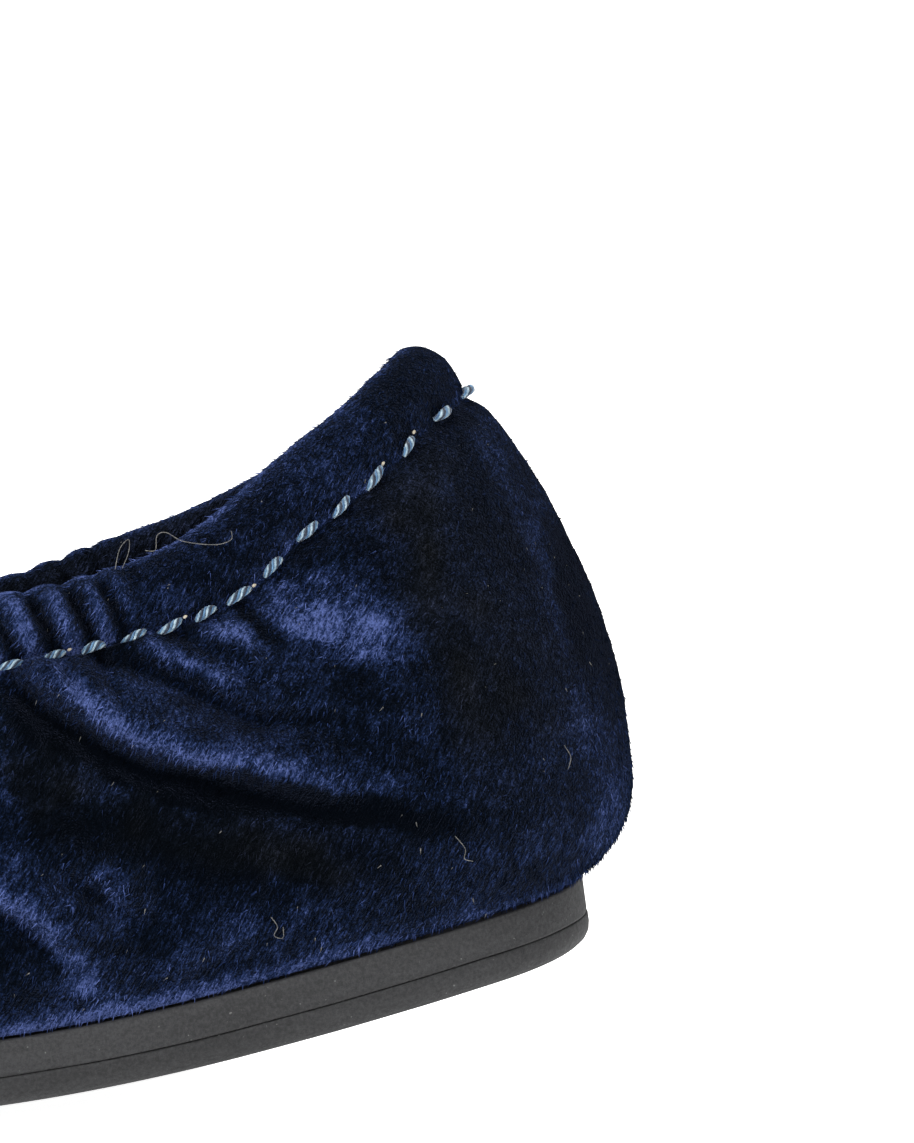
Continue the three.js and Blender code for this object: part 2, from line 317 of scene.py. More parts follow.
class Value:
    """A socket that can be added, multiplied and so on; each sum becomes a Math node. It serves materials and
    geometry trees alike."""

    def __init__(self, tree, socket):
        self.tree = tree
        self.socket = socket

    def sum(self, operation, first, second):
        node = self.tree.nodes.new("ShaderNodeMath")
        node.operation = operation
        for entry, given in zip(node.inputs, (first, second)):
            feed(self.tree, entry, given)
        return Value(self.tree, node.outputs[0])

    def __add__(self, other):
        return self.sum("ADD", self, other)

    def __sub__(self, other):
        return self.sum("SUBTRACT", self, other)

    def __rsub__(self, other):
        return self.sum("SUBTRACT", other, self)

    def __mul__(self, other):
        return self.sum("MULTIPLY", self, other)

    def __truediv__(self, other):
        return self.sum("DIVIDE", self, other)

    def __pow__(self, other):
        return self.sum("POWER", self, other)

    __radd__ = __add__
    __rmul__ = __mul__


def feed(tree, entry, given):
    if isinstance(given, Value):
        tree.links.new(given.socket, entry)
    else:
        entry.default_value = given


class Finish:
    """A material under construction."""

    def __init__(self, name):
        self.material = bpy.data.materials.new(name)
        self.material.use_nodes = True
        self.tree = self.material.node_tree
        self.tree.nodes.clear()

    def node(self, kind, settings=None, inputs=None, output=0):
        node = self.tree.nodes.new("ShaderNode" + kind)
        for key, value in (settings or {}).items():
            if key == "stops":
                for _ in value[2:]:
                    node.color_ramp.elements.new(0.5)
                for element, (position, color) in zip(node.color_ramp.elements, value):
                    element.position = position
                    element.color = (*color, 1)
            else:
                setattr(node, key, value)
        for key, value in (inputs or {}).items():
            feed(self.tree, node.inputs[key], value)
        return Value(self.tree, node.outputs[output])

    def place(self):
        return self.node("TexCoord", output="Object")

    def noise(self, scale, detail=3, roughness=0.5, distortion=0, vector=None):
        inputs = {"Scale": scale, "Detail": detail, "Roughness": roughness, "Distortion": distortion}
        inputs["Vector"] = self.place() if vector is None else vector
        return self.node("TexNoise", inputs=inputs)

    def stretched(self, sizes, turn=(0, 0, 0)):
        """Coordinates that count off lengths of the given sizes along axes turned from the frame's."""
        return self.node("Mapping", {"vector_type": "TEXTURE"},
                         {"Vector": self.place(), "Rotation": turn, "Scale": sizes})

    def ramp(self, factor, stops):
        return self.node("ValToRGB", {"stops": stops}, {"Fac": factor})

    def mix(self, factor, first, second):
        return self.node("Mix", {"data_type": "RGBA"}, {0: factor, 6: first, 7: second}, output=2)

    def attribute(self, name):
        return self.node("Attribute", {"attribute_name": name}, output="Fac")

    def cells(self, scale):
        return self.node("TexVoronoi", inputs={"Vector": self.place(), "Scale": scale}, output="Distance")

    def done(self, color, roughness, specular=0.5, sheen=None, height=None, depth=0, others=None):
        """The finished material. sheen is its weight, roughness and tint, and depth how deep its bumps are."""
        inputs = {"Base Color": color, "Roughness": roughness, "Specular IOR Level": specular, **(others or {})}
        if sheen:
            inputs.update(zip(("Sheen Weight", "Sheen Roughness", "Sheen Tint"), sheen))
        if height is not None:
            bumps = {"Height": height, "Distance": depth, "Strength": 1.0}
            inputs["Normal"] = self.node("Bump", inputs=bumps, output="Normal")
        surface = self.node("BsdfPrincipled", inputs=inputs)
        out = self.tree.nodes.new("ShaderNodeOutputMaterial")
        self.tree.links.new(surface.socket, out.inputs["Surface"])
        return self.material


def rgb(red, green, blue):
    return (red, green, blue, 1)


# ---- finishes ----


VELVET_SHADES = [
    (0.0, (0.0011, 0.002, 0.0037)),
    (0.24, (0.0022, 0.004, 0.0085)),
    (0.42, (0.0053, 0.0102, 0.028)),
    (0.62, (0.0165, 0.03, 0.092)),
    (0.95, (0.095, 0.135, 0.35)),
]
GREYED_SHADES = [
    (0.0, (0.0018, 0.0024, 0.0028)),
    (0.3, (0.0048, 0.0058, 0.0066)),
    (0.55, (0.013, 0.0145, 0.0175)),
    (0.9, (0.05, 0.053, 0.062)),
]


def velvet_color(f, tone):
    return f.mix(f.attribute("rubbed"), f.ramp(tone, VELVET_SHADES), f.ramp(tone, GREYED_SHADES))


def velvet_finish():
    """Crushed pile, streaky all over: near black where it lies away and in painted shade, bright blue where it
    is brushed up and in painted sheen.
    """
    f = Finish("navy_crushed_velvet")
    crushed = f.noise(85, detail=3, roughness=0.55, distortion=1.0) - 0.5
    tufts = f.noise(1, detail=3, roughness=0.7, distortion=0.5,
                    vector=f.stretched((0.00024, 0.0005, 0.0015), turn=(0, 0.5, 0))) - 0.5
    clumps = f.noise(560, detail=4, roughness=0.65, distortion=0.8) - 0.5
    pile = f.noise(4600, detail=1) - 0.5
    # The pile's lay, with painted sheen and shade in it.
    brushed_up_with_painted_light = f.attribute("lay") * 0.29 + crushed * 0.45 + clumps * 0.7 + 0.23
    tone = brushed_up_with_painted_light + tufts * 1.4 + pile * 0.7
    return f.done(velvet_color(f, tone), 0.85, specular=0, sheen=(0.05, 0.3, rgb(0.5, 0.6, 1)),
                  height=tufts + pile * 0.6 + clumps * 0.5, depth=0.0008)


def pile_finish():
    """Single fibres of the pile, each brushed a little differently from the cloth under it: they carry its lay
    with its painted sheen and shade, and a random painted glint of their own.
    """
    f = Finish("navy_pile_fibres")
    grain = f.noise(900, detail=2) - 0.5
    tone = f.attribute("lay") * 0.27 + f.attribute("glint") * 0.55 + grain * 0.5 + 0.06
    return f.done(velvet_color(f, tone), 0.8, specular=0)


def rubber_finish(name, color):
    """Matt rubber, streaked along the sole, with a little dust caught in it."""
    f = Finish(name)
    grain = f.noise(1400, detail=4, roughness=0.6)
    sand = f.noise(2600, detail=3, roughness=0.8)
    blotch = f.noise(45, detail=2)
    sole_run = f.node("CombineXYZ", inputs={0: f.attribute("run") * 22, 1: f.attribute("rise") * 700})
    streak = f.noise(1, detail=3, roughness=0.6, vector=sole_run)
    pores = f.cells(900)
    tone = grain * 0.35 + sand * 1.3 + blotch * 0.3 + streak * 0.5 - 0.72
    dust = f.ramp(f.noise(2300, detail=1), [(0.76, (0, 0, 0)), (0.8, (1, 1, 1))])
    dark = tuple(c * 0.66 for c in color)
    light = tuple(c * 1.35 + 0.003 for c in color)
    body = f.ramp(tone, [(0.3, dark), (0.5, color), (0.72, light)])
    roughness = f.ramp(grain, [(0.3, (0.62,) * 3), (0.7, (0.85,) * 3)])
    return f.done(f.mix(dust, body, rgb(0.1, 0.1, 0.1)), roughness, specular=0.25,
                  height=grain * 0.4 + pores * 0.3 + sand * 0.6, depth=0.0002)


def cloth_finish(name, dark, light, thread_gap, fuzz=0.3):
    """Plain woven cloth. thread_gap is in metres, and fuzz is how much of the weave loose hairs cover."""
    f = Finish(name)
    bands = math.tau / 20 / thread_gap  # a wave texture of scale 1 has a band every tau / 20
    along, across = (
        f.node("TexWave", {"bands_direction": way}, {"Vector": f.place(), "Scale": bands, "Distortion": 0.4})
        for way in "XY"
    )
    hairs = f.noise(1800, detail=3)
    patches = f.noise(70, detail=3)
    weave = along * 0.5 + across * 0.5
    tone = weave * (1 - fuzz) * 0.6 + hairs * fuzz + patches * 0.3
    return f.done(f.ramp(tone, [(0.25, dark), (0.75, light)]), 0.9, specular=0.2,
                  sheen=(0.12, 0.5, rgb(*light)), height=weave * 0.6 + hairs * 0.5, depth=0.0003)


def foam_finish():
    f = Finish("cream_foam")
    cells = f.cells(1300)
    tone = f.noise(60, detail=2) * 0.4 + cells * 0.6
    color = f.ramp(tone, [(0.2, (0.42, 0.38, 0.3)), (0.7, (0.68, 0.64, 0.55))])
    return f.done(color, 0.95, height=cells, depth=0.0004)


def thread_finish(name, dark, light):
    f = Finish(name)
    fibres = f.noise(2500, detail=3)
    return f.done(f.ramp(fibres, [(0.3, dark), (0.68, light)]), 0.55, specular=0.4, sheen=(0.35, 0.4),
                  height=fibres, depth=0.00012)


VELVET = velvet_finish()
PILE = pile_finish()
OUTSOLE = rubber_finish("charcoal_rubber", (0.0225, 0.0228, 0.024))
MIDSOLE = rubber_finish("charcoal_foam_rubber", (0.0245, 0.0248, 0.0262))
LINING = cloth_finish("brushed_lining", (0.0045, 0.0065, 0.017), (0.015, 0.02, 0.05), 0.0011, 0.6)
SOCK = cloth_finish("sock_cloth", (0.007, 0.01, 0.024), (0.024, 0.03, 0.064), 0.0012)
ELASTIC = cloth_finish("woven_elastic", (0.5, 0.5, 0.48), (0.82, 0.82, 0.8), 0.0008, 0.15)
FELT = cloth_finish("stiffened_felt", (0.45, 0.42, 0.36), (0.66, 0.62, 0.54), 0.0006, 0.7)
TAPE = cloth_finish("seam_tape", (0.012, 0.016, 0.04), (0.035, 0.045, 0.1), 0.0006, 0.2)
FOAM = foam_finish()
THREAD_BLUE = thread_finish("light_blue_thread", (0.02, 0.06, 0.13), (0.09, 0.2, 0.34))
THREAD_WHITE = thread_finish("white_thread", (0.08, 0.16, 0.24), (0.36, 0.46, 0.52))
THREAD_NAVY = thread_finish("navy_thread", (0.004, 0.008, 0.02), (0.015, 0.03, 0.06))
LINT = thread_finish("grey_lint", (0.03, 0.032, 0.036), (0.16, 0.155, 0.14))
THREAD_CREAM = thread_finish("cream_thread", (0.2, 0.17, 0.12), (0.5, 0.45, 0.36))


# ---- meshes ----


SHARP = math.radians(60)  # an edge that turns more than this isn't shaded smooth


def keep_on(mesh, numbers):
    """Keeps each list of numbers, one for a point, on the mesh under its name."""
    for key, values in (numbers or {}).items():
        layer = mesh.attributes.new(key, "FLOAT", "POINT")
        layer.data.foreach_set("value", np.asarray(values, np.float32).ravel())


def make_piece(name, points, faces, finish, numbers=None):
    mesh = bpy.data.meshes.new(name)
    mesh.from_pydata(place(points).reshape(-1, 3).tolist(), [], faces)
    mesh.validate()
    mesh.polygons.foreach_set("use_smooth", [True] * len(mesh.polygons))
    mesh.set_sharp_from_angle(angle=SHARP)
    keep_on(mesh, numbers)
    mesh.materials.append(finish)
    piece = add_object(name, mesh)
    return piece


def quads(rows, columns, start=0, turned=False):
    """Faces of a grid of points, row by row."""
    i = np.arange(rows - 1)[:, None] * columns + np.arange(columns - 1)[None, :] + start
    corners = [i, i + columns, i + columns + 1, i + 1]
    if turned:
        corners.reverse()
    return np.stack(corners, axis=-1).reshape(-1, 4)


def shell_faces(rows, columns):
    """Faces that close an outer grid and an inner grid, one after the other, into a shell."""
    count = rows * columns
    outer = quads(rows, columns)
    inner = quads(rows, columns, count, turned=True)
    i = np.arange(rows - 1) * columns
    j = np.arange(columns - 1)
    last = (rows - 1) * columns
    low = np.stack([i, i + count, i + columns + count, i + columns], axis=-1)
    high = low[:, ::-1] + columns - 1
    near = np.stack([j, j + 1, j + 1 + count, j + count], axis=-1)
    far = near[:, ::-1] + last
    return np.concatenate([outer, inner, low, high, near, far]).tolist()


def shell(name, outer, inner, finish, numbers=None):
    rows, columns = outer.shape[:2]
    points = np.concatenate([outer.reshape(-1, 3), inner.reshape(-1, 3)])
    both = {key: np.concatenate([v.ravel(), v.ravel()]) for key, v in (numbers or {}).items()}
    return make_piece(name, points, shell_faces(rows, columns), finish, both)


# The body that each half would turn with, and where along the sole it would start to and have fully turned with
# it; bend() works these out but turns nothing.
BENDS = {"rear": ("heel", 130, 60), "front": ("forefoot", 134, 196)}


def bend(piece, half):
    """Bakes the piece's place into its mesh. The piece stays still at the waist: the body it would turn with,
    the heel behind it or the forefoot ahead of it, and where that turn would start and end are worked out but
    not used.
    """
    body, *reach = BENDS[half.split("_")[0]]
    start, end = ((place(on_sole(at, 0, 0))[0], 0, 0) for at in reach)
    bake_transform(piece)


def nodes_of(layer, half):
    """The CAD nodes of a layer that a half of the slipper stands for."""
    ends = ["heel", "waist_bend"] if half.startswith("rear") else ["toe", "forefoot", "ball_bend", "waist"]
    sides = [half.split("_")[1]] if "_" in half else ["inner", "outer"]
    wanted = {f"{layer}_{end}" for end in ends} | {f"{layer}_{end}_{side}" for end in ends for side in sides}
    return sorted(wanted & set(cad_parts))


# ---- the upper's shape: folds, rumples and gathers ----

# Each fold: the points of its ridge as (ahead of the heel end, height), its height, its width, and how deep
# the crease beneath it is.
OUTER_FOLDS = [
    ([(68.3, 52), (56.3, 44.4), (51.3, 41), (44.8, 37.6), (34.3, 34.9), (18.3, 32.6)], 3.2, 2.5, 1.7),
    ([(56.3, 50), (46.4, 47), (39.9, 44.2), (34.2, 42.5), (22.3, 40.5)], 1.3, 2.0, 1.0),
    ([(74.3, 29), (61.1, 23.2), (57.8, 22), (54.6, 19), (48.9, 14.6)], 2.0, 2.4, 1.2),
    ([(56.3, 28), (51.7, 25.8), (48.5, 23), (44.3, 20)], 1.0, 2.0, 0.8),
    ([(86.3, 46), (78.3, 41), (70.3, 34), (62.3, 31)], 1.9, 2.8, 1.3),
    ([(100.3, 38), (92.3, 30), (84.3, 25), (72.3, 21)], 1.6, 3.0, 1.1),
    ([(118.3, 42), (108.3, 36), (100.3, 27), (94.3, 22)], 1.6, 3.0, 1.1),
    ([(45.3, 52), (39.3, 48.5), (35.3, 46), (31.3, 45)], 0.8, 1.7, 0.6),
    ([(46.3, 14), (40.3, 17.5), (34.3, 20)], 0.9, 2.2, 0.4),
    ([(152.3, 34), (142.3, 30), (130.3, 27), (118.3, 27)], 1.2, 3.2, 0.9),
]
INNER_FOLDS = [
    ([(70, 50), (58, 45), (46, 38), (34, 35), (22, 35.5)], 2.6, 2.6, 1.6),
    ([(60, 36), (50, 29), (42, 25), (32, 24)], 1.5, 2.6, 1.0),
    ([(92, 44), (82, 37), (72, 32), (64, 30.5)], 1.9, 2.8, 1.3),
    ([(112, 41), (102, 34), (92, 28), (84, 25)], 1.6, 3.0, 1.1),
    ([(140, 34), (130, 28), (120, 26)], 1.3, 3.0, 0.9),
    ([(46, 52), (36, 48), (27, 46), (18, 47)], 1.0, 2.2, 0.8),
]
CREASE_BELOW = 1.0  # how far below its ridge a crease lies, in widths of the fold

# How the pile is brushed, shown as painted sheen where it catches the light and painted shade where it lies
# away: lines of (ahead, height), half the width of the stroke, and its brightness.
OUTER_STROKES = [
    ([(46.5, 48.2), (43, 46.3), (40, 45), (37.5, 44)], 1.0, 1.2),
    ([(41.5, 51.3), (38.5, 49.6), (35.5, 47.6)], 1.6, 1.3),
    ([(35.5, 52.5), (31, 50.5), (26, 48.5), (20, 47.5)], 2.5, 1.35),
    ([(31, 55), (27.5, 53.5), (24, 52)], 1.2, 0.6),
    ([(37.8, 51.8), (36.2, 49.6), (33.5, 47.2)], 0.6, -1.5),
    ([(25, 51), (22, 49.4), (19, 48)], 1.5, 0.6),
    ([(56, 45.4), (51.2, 41.1), (48.2, 39), (44.2, 37.7), (41.2, 36.9), (37.2, 36.1)], 1.15, 1.5),
    ([(40, 36.8), (31.2, 34.9), (25, 33.6), (19, 32.2)], 1.2, 0.95),
    ([(52, 44.5), (46, 42), (38, 39), (30, 37.4)], 2.2, 0.5),
    ([(46.5, 46.8), (40, 43.8), (34, 42.4), (26, 40.6), (17, 39.8)], 1.2, 0.4),
    ([(52, 48), (47, 45.5), (42, 43.6)], 1.0, -0.8),
    ([(61, 43), (55.2, 38.8), (51.2, 36.4), (46.2, 34.5), (39.2, 33), (31.2, 32), (19.2, 30), (14, 29)],
     1.35, -2.6),
    ([(59, 37), (55, 30)], 4.0, -0.5),
    ([(50, 30), (38, 27), (24, 25.5)], 3.6, -0.6),
    ([(62.5, 23.6), (58.2, 21.7), (55.2, 18.7), (52.2, 15.2), (50, 13)], 1.5, 1.3),
    ([(52.2, 26.4), (49.8, 25), (48, 23.6)], 1.8, 1.0),
    ([(59, 16), (55, 14.4), (50, 14.5)], 1.4, 0.5),
    ([(45.5, 16), (40, 18.1), (34, 20.2)], 1.5, 0.5),
    ([(35, 23), (33, 27), (27.6, 28.4)], 1.1, 0.4),
    ([(2.4, 42), (0.6, 36), (0, 30), (2, 26)], 1.9, 0.6),
    ([(14, 70), (10.5, 64), (7, 56), (4, 48)], 1.3, 0.7),
    ([(5.5, 58), (2, 50), (0.6, 43)], 2.0, -0.9),
]
# Where the pile is coloured grey-brown instead of blue: the same, with how strongly.
OUTER_GREYED = [
    ([(22, 66), (16, 56), (12, 44), (10, 34)], 6.0, 0.85),
    ([(58, 38), (54, 31)], 4.0, 0.7),
    ([(50, 31), (38, 28), (24, 27)], 3.4, 0.75),
    ([(36, 28), (28, 25)], 2.5, 0.6),
]


def carried_over(strokes):
    """Strokes like the outer side's, a little further ahead and wider, for the inner side."""
    return [([(ahead * 1.07 + 2, level + 0.8) for ahead, level in line], half_width * 1.1, strength)
            for line, half_width, strength in strokes]


SIDES = {
    "outer": (OUTER_FOLDS, OUTER_STROKES, OUTER_GREYED),
    "inner": (INNER_FOLDS, carried_over(OUTER_STROKES), carried_over(OUTER_GREYED)),
}


def near_line(ahead, level, line):
    """Distance from a line in side view, the same with a sign, plus above it, and the share of the line run."""
    line = np.asarray(line, float)
    legs = np.diff(line, axis=0)
    sizes = np.linalg.norm(legs, axis=1)
    lengths = np.concatenate([[0], np.cumsum(sizes)])
    nearest = np.full(ahead.shape, 1e9)
    above = np.zeros(ahead.shape)
    along = np.zeros(ahead.shape)
    for (x0, z0), (dx, dz), size, start in zip(line, legs, sizes, lengths):
        share = np.clip(((ahead - x0) * dx + (level - z0) * dz) / size**2, 0, 1)
        across = ((ahead - x0) * dz - (level - z0) * dx) / size
        gap = np.hypot(ahead - x0 - share * dx, level - z0 - share * dz)
        closer = gap < nearest
        nearest = np.where(closer, gap, nearest)
        above = np.where(closer, np.sign(across) * gap, above)
        along = np.where(closer, (start + share * size) / lengths[-1], along)
    return nearest, above, along


def fold_height(points, folds):
    """How far folds push the cloth out or draw it in, in millimetres."""
    ahead = -points[..., 0] + 0.5 * rumple(points, 5, 12)
    level = points[..., 2] + 0.6 * rumple(points, 6, 11)
    total = np.zeros(ahead.shape)
    for line, height, width, crease in folds:
        _, above, along = near_line(ahead, level, line)
        taper = smooth(0, 0.22, along) * smooth(1, 0.55, along)
        spread = np.where(above > 0, 1.55, 0.62) * width
        ridge = hill(above, spread)
        furrow = hill(above + CREASE_BELOW * width, 0.5 * width)
        total += taper * (height * ridge - crease * furrow)
    return total


def stroked(points, strokes):
    """The strokes' strengths, with their edges wandering."""
    ahead = -points[..., 0] + 1.0 * rumple(points, 5, 41) + 0.6 * rumple(points, 1.5, 42)
    level = points[..., 2] + 0.9 * rumple(points, 4.5, 43) + 0.5 * rumple(points, 1.2, 44)
    total = np.zeros(ahead.shape)
    for line, half_width, strength in strokes:
        gap, above, along = near_line(ahead, level, line)
        ends = 0.35 + 0.65 * smooth(0, 0.15, along) * smooth(1, 0.8, along)
        soft = hill(gap / half_width, 1.15)
        crisp = np.exp(-((gap / half_width / 0.85) ** 4))
        total += strength * ends * np.where(above > 0, soft, crisp)
    return total


STROKES_END = (54, 68)  # ahead of the heel end: where the strokes give way to random ones


def brushed_with_painted_light(points, strokes, lift, from_foot):
    """How bright the pile is, from how it is brushed and from painted sheen and shade: about 1 where it stands
    up to the light, and -1 where it lies away.
    """
    ahead = -points[..., 0]
    total = stroked(points, strokes)
    further = smooth(*STROKES_END, ahead)
    total += further * (1.1 * rumple(points, (12, 12, 7), 45) + 0.6 * rumple(points, 5, 46))
    total += (0.3 + 0.3 * smooth(8, 40, ahead)) * rumple(points, (5, 5, 3), 47)
    total += 0.3 * smooth(4, 30, ahead) * rumple(points, (1.9, 1.9, 1.4), 49)
    # Painted shade and highlight: fold ridges lighter, creases darker.
    total += np.clip(lift, -1.5, 2.5) * 0.12
    # A painted sheen along the foot of the upper, by the sole.
    sole_rim_sheen = hill(from_foot, 1.8) * (1.0 + 1.2 * smooth(22, 50, ahead))
    return total + sole_rim_sheen * (1 + 0.3 * rumple(points, 6, 48))


GATHER_PITCH = 3.7
GATHER_LEAN = 0.45  # how far a gather leans to the heel for each millimetre down
GATHERED_FROM = (46, 50.5)  # ahead of the heel end: where the gathers start, and where they are full
STITCH_PITCH = 4.15


def topline_run(t):
    """Distance along the topline from the middle of the heel, positive on the inner side."""
    fine = np.linspace(-0.5, 1, 6001)
    path = through(TOPLINE, fine)[0]
    run = np.concatenate([[0], np.cumsum(np.linalg.norm(np.diff(path, axis=0), axis=1))])
    run -= np.interp(0, fine, run)
    return np.interp(t, fine, run)


def gather_wave(t, walls, down):
    """Ridges and sharp valleys across the collar, uneven as hand-fed gathers are. The elastic gathers the cloth
    not at all round the heel, and fully from the quarters forward."""
    run = np.abs(topline_run(t))[:, None] + GATHER_LEAN * down
    flat = np.zeros_like(run)
    spot = np.stack([run, np.sign(t)[:, None] + flat, flat], axis=-1)
    wander = 1.6 * rumple(spot, 13, 5)
    wave = np.abs(np.sin(math.pi * (run + wander) / GATHER_PITCH)) ** 0.85 * 2 - 1.3
    uneven = 1 + 0.5 * rumple(spot, 9, 6)
    return wave * uneven * smooth(*GATHERED_FROM, -walls.points[:, -1:, 0])


PINCH = 0.9  # how far the stitches draw the hem in
PLEAT = 1.1  # how far a gather stands out below the stitches, and how far down it runs
PLEAT_REACH = 6.5
HEEL_SWELL = 1.0  # how far the cloth stands out low on the back of the heel
SWELL_LEVEL = 29.5
FREE_HOLLOW = 0.4  # a hollow deeper than this meets the stiff layers behind, and flattens


def wall_lift(t, walls, down, folds):
    """Everything that moves the velvet off its smooth wall, below the stitches."""
    points = walls.at(down, 0)
    lift = fold_height(points, folds)
    steep = points * np.array([1, 1, 0.8])
    ahead = -points[..., 0]
    slack = 0.35 + 0.65 * smooth(14, 40, ahead)
    lift += slack * (0.75 * rumple(steep, 11, 1) + 0.42 * rumple(steep, 5.3, 2))
    lift += slack * 0.2 * rumple(steep, 2.4, 3) + 0.07 * rumple(points, 1.1, 4)
    below = down / walls.slant - HEM_WIDTH
    pleat = gather_wave(t, walls, down / walls.slant) * PLEAT * np.exp(-below / PLEAT_REACH)
    lift += pleat * smooth(0, 1.4, below)
    from_foot = walls.length[:, None] - down
    lift *= smooth(0, 7, from_foot) * 0.92 + 0.08
    lift -= PINCH * hill(below, 1.5)
    lift += HEEL_SWELL * hill(points[..., 2] - SWELL_LEVEL, 6) * smooth(26, 6, ahead)
    room = 0.95 + 0.7 * smooth(50, 58, ahead) - FREE_HOLLOW
    hollow = np.maximum(-lift - FREE_HOLLOW, 0)
    return np.where(hollow > 0, -FREE_HOLLOW - room * np.tanh(hollow / room), lift)


# The hem's section, from the outer stitches over the top to the inner ones: down from the topline and in.
HEM_SECTION = [
    (8.2, 0.95), (7.3, 0.3), (5.9, -0.25), (4.1, -0.45), (2.3, -0.2), (0.9, 0.55), (0.05, 1.7), (-0.1, 2.8),
    (0.6, 3.9), (1.9, 4.7), (3.8, 5.1), (5.7, 4.9), (7.3, 4.3), (8.2, 3.75),
]
HEM_STEPS = 40
WALL_STEPS = 76
CLOTH = 0.9  # thickness of the velvet
HEM_WALL = CLOTH / HEM_DEPTH * 1.6  # how much smaller the hem's inner face is than its outer one
HEM_PUFF = (0.06, 0.3)  # how much a gather swells the hem, at its rim and below it
SEAM_DIP = 0.55  # how far the cloth turns in at a seam, and over what width
SEAM_SPREAD = 0.8


def hem_path():
    section = np.asarray(HEM_SECTION)
    runs = np.concatenate([[0], np.cumsum(np.linalg.norm(np.diff(section, axis=0), axis=1))])
    at = np.linspace(0, runs[-1], HEM_STEPS)
    return np.stack([np.interp(at, runs, section[:, 0]), np.interp(at, runs, section[:, 1])], axis=-1)


def smoothed(path):
    for _ in range(6):
        path[1:-1] = (path[:-2] + 2 * path[1:-1] + path[2:]) / 4
    return path


def seam_dip(t, ends):
    """The cloth turns in at the seams that end a panel."""
    run = topline_run(t)
    return sum(SEAM_DIP * hill(run - topline_run(end), SEAM_SPREAD) for end in ends)


def velvet_panel(half, steps):
    start, end = HALVES[half]
    t = np.linspace(start, end, steps)
    walls = Walls(t)
    folds, strokes, greyed_patches = SIDES[half.split("_")[1]]
    rise = np.linspace(0, 1, WALL_STEPS)[None, :-1]
    down = walls.length[:, None] * (1 - rise) + HEM_WIDTH * walls.slant * rise
    lift = wall_lift(t, walls, down, folds)
    dip = seam_dip(t, (start, end))[:, None]
    wall_outer = walls.at(down, dip - lift)
    wall_inner = walls.at(down, CLOTH - lift)

    hem = smoothed(hem_path())
    middle = np.array(HEM_MIDDLE)
    wave = gather_wave(t, walls, hem[None, :, 0])[..., None]
    stitch_gap = np.abs(hem[:, 0] - HEM_WIDTH)[None, :, None]
    from_rim = smooth(0.8, 2.8, hem[:, 0])[None]
    puff = 1 + (HEM_PUFF[0] + HEM_PUFF[1] * from_rim[..., None]) * wave * smooth(0, 2.2, stitch_gap)
    spread = middle + (hem - middle)[None] * puff
    thin = middle + (hem - middle)[None] * (puff - HEM_WALL)
    hem_outer = walls.at(spread[..., 0] * walls.slant, spread[..., 1] + dip * 0.4)
    ripple = 0.14 * rumple(hem_outer, 2.2, 8) + 0.05 * rumple(hem_outer, 1.0, 9)
    away = unit(hem_outer - walls.at(middle[0] * walls.slant, middle[1]))
    hem_outer = hem_outer + away * ripple[..., None]
    hem_inner = walls.at(thin[..., 0] * walls.slant, thin[..., 1])

    outer = np.concatenate([wall_outer, hem_outer], axis=1)
    inner = np.concatenate([wall_inner, hem_inner], axis=1)
    wall_lay_with_painted_light = brushed_with_painted_light(wall_outer, strokes, lift, walls.length[:, None] - down)
    # A painted highlight along the top edge of the collar.
    collar_rim_highlight = hill(hem[:, 1] - 1.5, 0.9) * 1.1
    inside = smooth(2.4, 3.6, hem[:, 1])
    # Painted shade: the gathers' valleys darker than their ridges, and the hem darker towards the heel.
    hem_lay_with_painted_light = 0.25 + (0.3 + 1.5 * from_rim) * wave[..., 0] - 0.4 * smooth(34, 16, -hem_outer[..., 0])
    hem_lay_with_painted_light += 0.35 * rumple(hem_outer, (4, 4, 2.5), 51) + 0.3 * rumple(hem_outer, 9, 52)
    hem_lay_with_painted_light = hem_lay_with_painted_light * (1 - 0.5 * inside) + collar_rim_highlight * (1 + 0.4 * rumple(hem_outer, 5, 53)) + 0.1 * inside
    marks = {
        "lay": np.concatenate([wall_lay_with_painted_light, hem_lay_with_painted_light], axis=1),
        "rubbed": np.concatenate([
            np.clip(stroked(wall_outer, greyed_patches), 0, 0.9) * (0.7 + 0.5 * rumple(wall_outer, 3, 54)),
            0.6 * np.ones((steps, 1)) * inside,
        ], axis=1).clip(0, 1),
    }
    piece = shell("velvet_" + half, outer, inner, VELVET, marks)
    hidden = nodes_of("velvet", half) + nodes_of("hem", half)
    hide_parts(*hidden)
    bend(piece, half)
    return outer, marks


PANEL_STEPS = {"rear_outer": 400, "rear_inner": 400, "front_outer": 330, "front_inner": 330}
CLOTH_FACES = {half: velvet_panel(half, steps) for half, steps in PANEL_STEPS.items()}


# ---- the layers inside the upper ----


def inner_layer(name, span, layer, edges, counts, finish, hidden, ripple=0.0):
    """A layer of the upper. layer is its depth and thickness. edges is how far down from the topline it starts,
    and how far up from the foot it ends, or down from the topline where that is negative."""
    t = np.linspace(*span, counts[0])
    walls = Walls(t)
    depth, thickness = layer
    upper, lower = edges
    lowest = walls.length[:, None] - lower if lower >= 0 else -lower * walls.slant
    share = np.linspace(1, 0, counts[1])[None]
    down = share * lowest + (1 - share) * upper * walls.slant
    wave = ripple * rumple(walls.at(down, depth), 6, 21)
    outer = walls.at(down, depth + wave)
    inner = walls.at(down, depth + thickness + wave)
    piece = shell(name, outer, inner, finish)
    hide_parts(*hidden)
    return piece


for half, span in {"rear": REAR, "front": FRONT}.items():
    lining = inner_layer("lining_" + half, span, layer=(2.8, 0.8), edges=(HEM_WIDTH + 0.2, 0.6),
                         counts=(360, 40), finish=LINING, hidden=nodes_of("lining", half),
                         ripple=0.35)
    elastic = inner_layer("elastic_" + half, span, layer=(1.8, 1.2), edges=(2, -7.1), counts=(240, 8),
                          finish=ELASTIC, hidden=nodes_of("elastic", half))
    bend(lining, half)
    bend(elastic, half)

